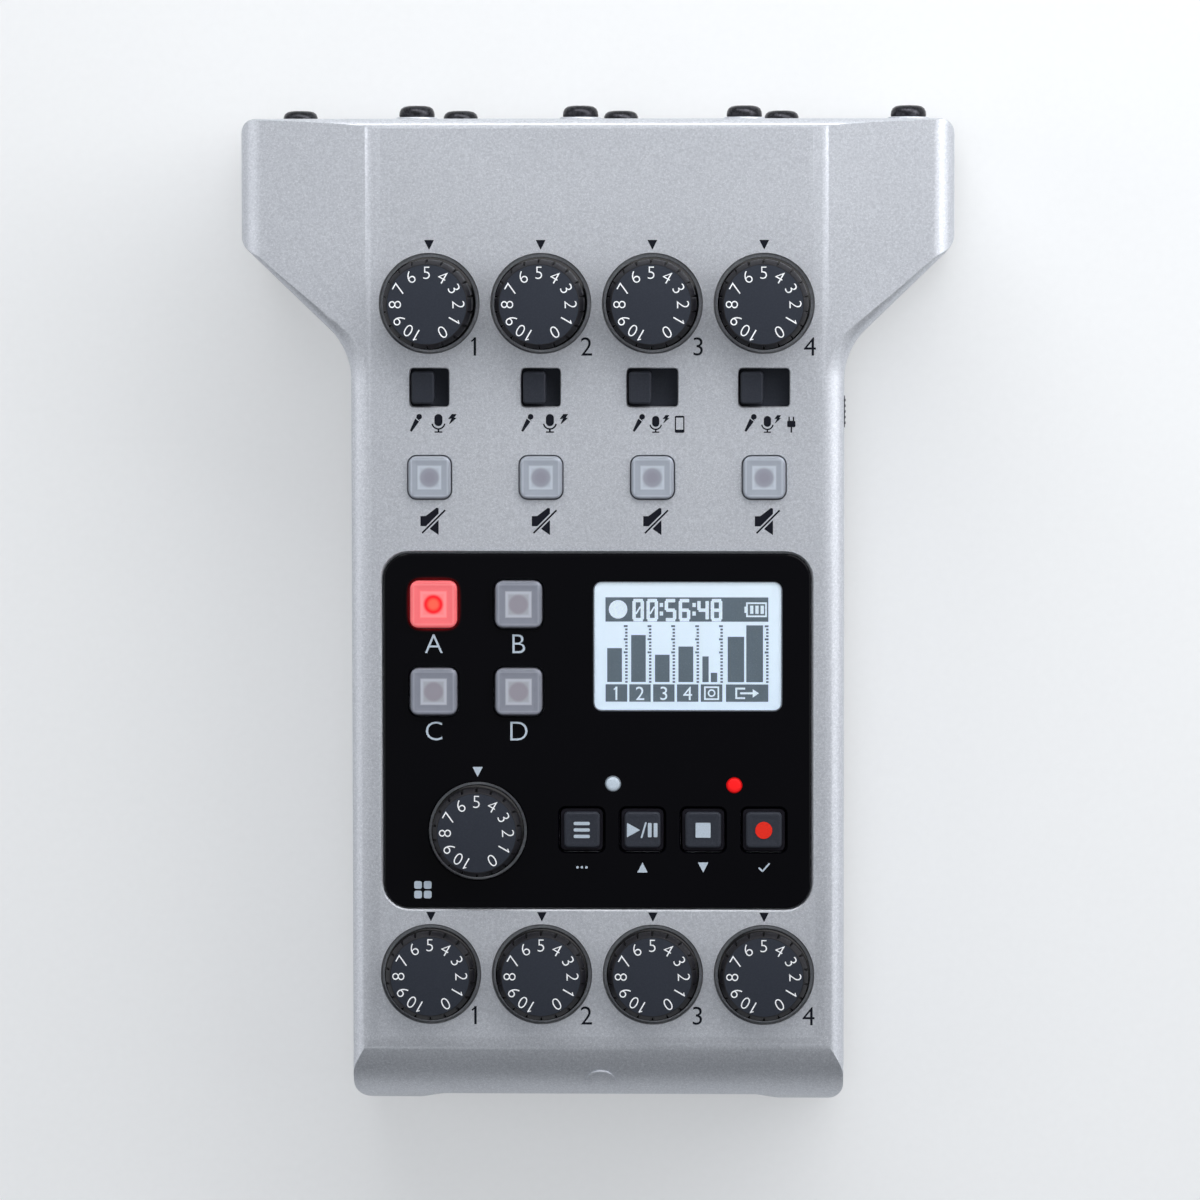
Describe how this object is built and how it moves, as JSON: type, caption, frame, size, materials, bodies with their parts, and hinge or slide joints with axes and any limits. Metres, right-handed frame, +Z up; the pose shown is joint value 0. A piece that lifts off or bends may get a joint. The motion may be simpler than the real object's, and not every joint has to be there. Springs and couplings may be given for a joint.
{
  "type": "podcast recorder",
  "caption": "Table-top podcast recorder with microphone sockets in a wide rear, gain and volume knobs, sound pads, a display and transport keys on a sloping face.",
  "frame": {"origin": "centre of the bounding box at the surface that the feet stand on", "axes": "+Z up, +Y to the rear with the microphone sockets, +X to the right seen from the front"},
  "size_m": [0.112, 0.1572, 0.0472],
  "materials": {
    "silver_shell": "fine silver paint",
    "black_matte": "fine matt",
    "black_gloss": "polished",
    "display_window": "clear, polished",
    "display": "lit dot display",
    "circuit_board": "lacquered board",
    "knob_grey": "matt top, satin sides",
    "milky_rubber": "translucent, matt",
    "lit_red_rubber": "translucent, lit red",
    "white_light": "lit light pipe",
    "red_light": "lit light pipe",
    "socket_metal": "plated steel",
    "screw_black": "black oxide",
    "battery_jacket": "printed jacket, bare",
    "foot_rubber": "matt rubber"
  },
  "bodies": {
    "recorder": {"top_shell": "silver_shell", "bottom_shell": "black_matte", "control_panel": "black_gloss", "display_window": "display_window", "lcd_module": "display", "main_board": "circuit_board", "xlr_socket_1": "black_matte", "xlr_socket_2": "black_matte", "xlr_socket_3": "black_matte", "xlr_socket_4": "black_matte", "socket_screw_low_1": "screw_black", "socket_screw_high_1": "screw_black", "socket_screw_low_2": "screw_black", "socket_screw_high_2": "screw_black", "socket_screw_low_3": "screw_black", "socket_screw_high_3": "screw_black", "socket_screw_low_4": "screw_black", "socket_screw_high_4": "screw_black", "input_board": "circuit_board", "jack_board": "black_matte", "phone_socket": "black_matte", "usb_socket": "socket_metal", "card_socket": "socket_metal", "play_light": "white_light", "record_light": "red_light", "battery_1": "battery_jacket", "battery_2": "battery_jacket", "battery_link": "socket_metal", "battery_terminals": "socket_metal", "foot_1": "foot_rubber", "foot_2": "foot_rubber", "foot_3": "foot_rubber", "foot_4": "foot_rubber"},
    "gain_knob_1": {"gain_knob_1": "knob_grey"},
    "gain_knob_2": {"gain_knob_2": "knob_grey"},
    "gain_knob_3": {"gain_knob_3": "knob_grey"},
    "gain_knob_4": {"gain_knob_4": "knob_grey"},
    "volume_knob_1": {"volume_knob_1": "knob_grey"},
    "volume_knob_2": {"volume_knob_2": "knob_grey"},
    "volume_knob_3": {"volume_knob_3": "knob_grey"},
    "volume_knob_4": {"volume_knob_4": "knob_grey"},
    "pad_level_knob": {"pad_level_knob": "knob_grey"},
    "source_switch_1": {"source_switch_1": "black_matte"},
    "source_switch_2": {"source_switch_2": "black_matte"},
    "source_switch_3": {"source_switch_3": "black_matte"},
    "source_switch_4": {"source_switch_4": "black_matte"},
    "mute_button_1": {"mute_button_1": "milky_rubber"},
    "mute_button_2": {"mute_button_2": "milky_rubber"},
    "mute_button_3": {"mute_button_3": "milky_rubber"},
    "mute_button_4": {"mute_button_4": "milky_rubber"},
    "sound_pad_a": {"sound_pad_a": "lit_red_rubber"},
    "sound_pad_b": {"sound_pad_b": "milky_rubber"},
    "sound_pad_c": {"sound_pad_c": "milky_rubber"},
    "sound_pad_d": {"sound_pad_d": "milky_rubber"},
    "menu_key": {"menu_key": "black_matte"},
    "play_key": {"play_key": "black_matte"},
    "stop_key": {"stop_key": "black_matte"},
    "record_key": {"record_key": "black_matte"},
    "power_switch": {"power_switch": "black_matte"},
    "battery_door": {"battery_door": "black_matte"}
  },
  "joints": [
    {"name": "gain_knob_1_turn", "type": "hinge", "parent": "recorder", "child": "gain_knob_1", "pos_m": [-0.02625, 0.04741, 0.0402], "axis": [0, -0.0349, 0.9994], "range_deg": [-150, 150]},
    {"name": "gain_knob_2_turn", "type": "hinge", "parent": "recorder", "child": "gain_knob_2", "pos_m": [-0.00875, 0.04741, 0.0402], "axis": [0, -0.0349, 0.9994], "range_deg": [-150, 150]},
    {"name": "gain_knob_3_turn", "type": "hinge", "parent": "recorder", "child": "gain_knob_3", "pos_m": [0.00875, 0.04741, 0.0402], "axis": [0, -0.0349, 0.9994], "range_deg": [-150, 150]},
    {"name": "gain_knob_4_turn", "type": "hinge", "parent": "recorder", "child": "gain_knob_4", "pos_m": [0.02625, 0.04741, 0.0402], "axis": [0, -0.0349, 0.9994], "range_deg": [-150, 150]},
    {"name": "volume_knob_1_turn", "type": "hinge", "parent": "recorder", "child": "volume_knob_1", "pos_m": [-0.02625, -0.05822, 0.03651], "axis": [0, -0.0349, 0.9994], "range_deg": [-150, 150]},
    {"name": "volume_knob_2_turn", "type": "hinge", "parent": "recorder", "child": "volume_knob_2", "pos_m": [-0.00875, -0.05822, 0.03651], "axis": [0, -0.0349, 0.9994], "range_deg": [-150, 150]},
    {"name": "volume_knob_3_turn", "type": "hinge", "parent": "recorder", "child": "volume_knob_3", "pos_m": [0.00875, -0.05822, 0.03651], "axis": [0, -0.0349, 0.9994], "range_deg": [-150, 150]},
    {"name": "volume_knob_4_turn", "type": "hinge", "parent": "recorder", "child": "volume_knob_4", "pos_m": [0.02625, -0.05822, 0.03651], "axis": [0, -0.0349, 0.9994], "range_deg": [-150, 150]},
    {"name": "pad_level_knob_turn", "type": "hinge", "parent": "recorder", "child": "pad_level_knob", "pos_m": [-0.01882, -0.03554, 0.0373], "axis": [0, -0.0349, 0.9994], "range_deg": [-150, 150]},
    {"name": "source_switch_1_slide", "type": "slide", "parent": "recorder", "child": "source_switch_1", "axis": [1, 0, 0], "range_m": [0, 0.002]},
    {"name": "source_switch_2_slide", "type": "slide", "parent": "recorder", "child": "source_switch_2", "axis": [1, 0, 0], "range_m": [0, 0.002]},
    {"name": "source_switch_3_slide", "type": "slide", "parent": "recorder", "child": "source_switch_3", "axis": [1, 0, 0], "range_m": [0, 0.00385]},
    {"name": "source_switch_4_slide", "type": "slide", "parent": "recorder", "child": "source_switch_4", "axis": [1, 0, 0], "range_m": [0, 0.00385]},
    {"name": "mute_button_1_press", "type": "slide", "parent": "recorder", "child": "mute_button_1", "axis": [0, 0.0349, -0.9994], "range_m": [0, 0.0008], "stiffness_N_per_m": 400},
    {"name": "mute_button_2_press", "type": "slide", "parent": "recorder", "child": "mute_button_2", "axis": [0, 0.0349, -0.9994], "range_m": [0, 0.0008], "stiffness_N_per_m": 400},
    {"name": "mute_button_3_press", "type": "slide", "parent": "recorder", "child": "mute_button_3", "axis": [0, 0.0349, -0.9994], "range_m": [0, 0.0008], "stiffness_N_per_m": 400},
    {"name": "mute_button_4_press", "type": "slide", "parent": "recorder", "child": "mute_button_4", "axis": [0, 0.0349, -0.9994], "range_m": [0, 0.0008], "stiffness_N_per_m": 400},
    {"name": "sound_pad_a_press", "type": "slide", "parent": "recorder", "child": "sound_pad_a", "axis": [0, 0.0349, -0.9994], "range_m": [0, 0.001], "stiffness_N_per_m": 300},
    {"name": "sound_pad_b_press", "type": "slide", "parent": "recorder", "child": "sound_pad_b", "axis": [0, 0.0349, -0.9994], "range_m": [0, 0.001], "stiffness_N_per_m": 300},
    {"name": "sound_pad_c_press", "type": "slide", "parent": "recorder", "child": "sound_pad_c", "axis": [0, 0.0349, -0.9994], "range_m": [0, 0.001], "stiffness_N_per_m": 300},
    {"name": "sound_pad_d_press", "type": "slide", "parent": "recorder", "child": "sound_pad_d", "axis": [0, 0.0349, -0.9994], "range_m": [0, 0.001], "stiffness_N_per_m": 300},
    {"name": "menu_key_press", "type": "slide", "parent": "recorder", "child": "menu_key", "axis": [0, 0.0349, -0.9994], "range_m": [0, 0.0004], "stiffness_N_per_m": 500},
    {"name": "play_key_press", "type": "slide", "parent": "recorder", "child": "play_key", "axis": [0, 0.0349, -0.9994], "range_m": [0, 0.0004], "stiffness_N_per_m": 500},
    {"name": "stop_key_press", "type": "slide", "parent": "recorder", "child": "stop_key", "axis": [0, 0.0349, -0.9994], "range_m": [0, 0.0004], "stiffness_N_per_m": 500},
    {"name": "record_key_press", "type": "slide", "parent": "recorder", "child": "record_key", "axis": [0, 0.0349, -0.9994], "range_m": [0, 0.0004], "stiffness_N_per_m": 500},
    {"name": "power_switch_slide", "type": "slide", "parent": "recorder", "child": "power_switch", "axis": [0, 0.9994, 0.0349], "range_m": [0, 0.003]},
    {"name": "battery_door_slide", "type": "slide", "parent": "recorder", "child": "battery_door", "axis": [0, 0, -1], "range_m": [0, 0.012]}
  ]
}
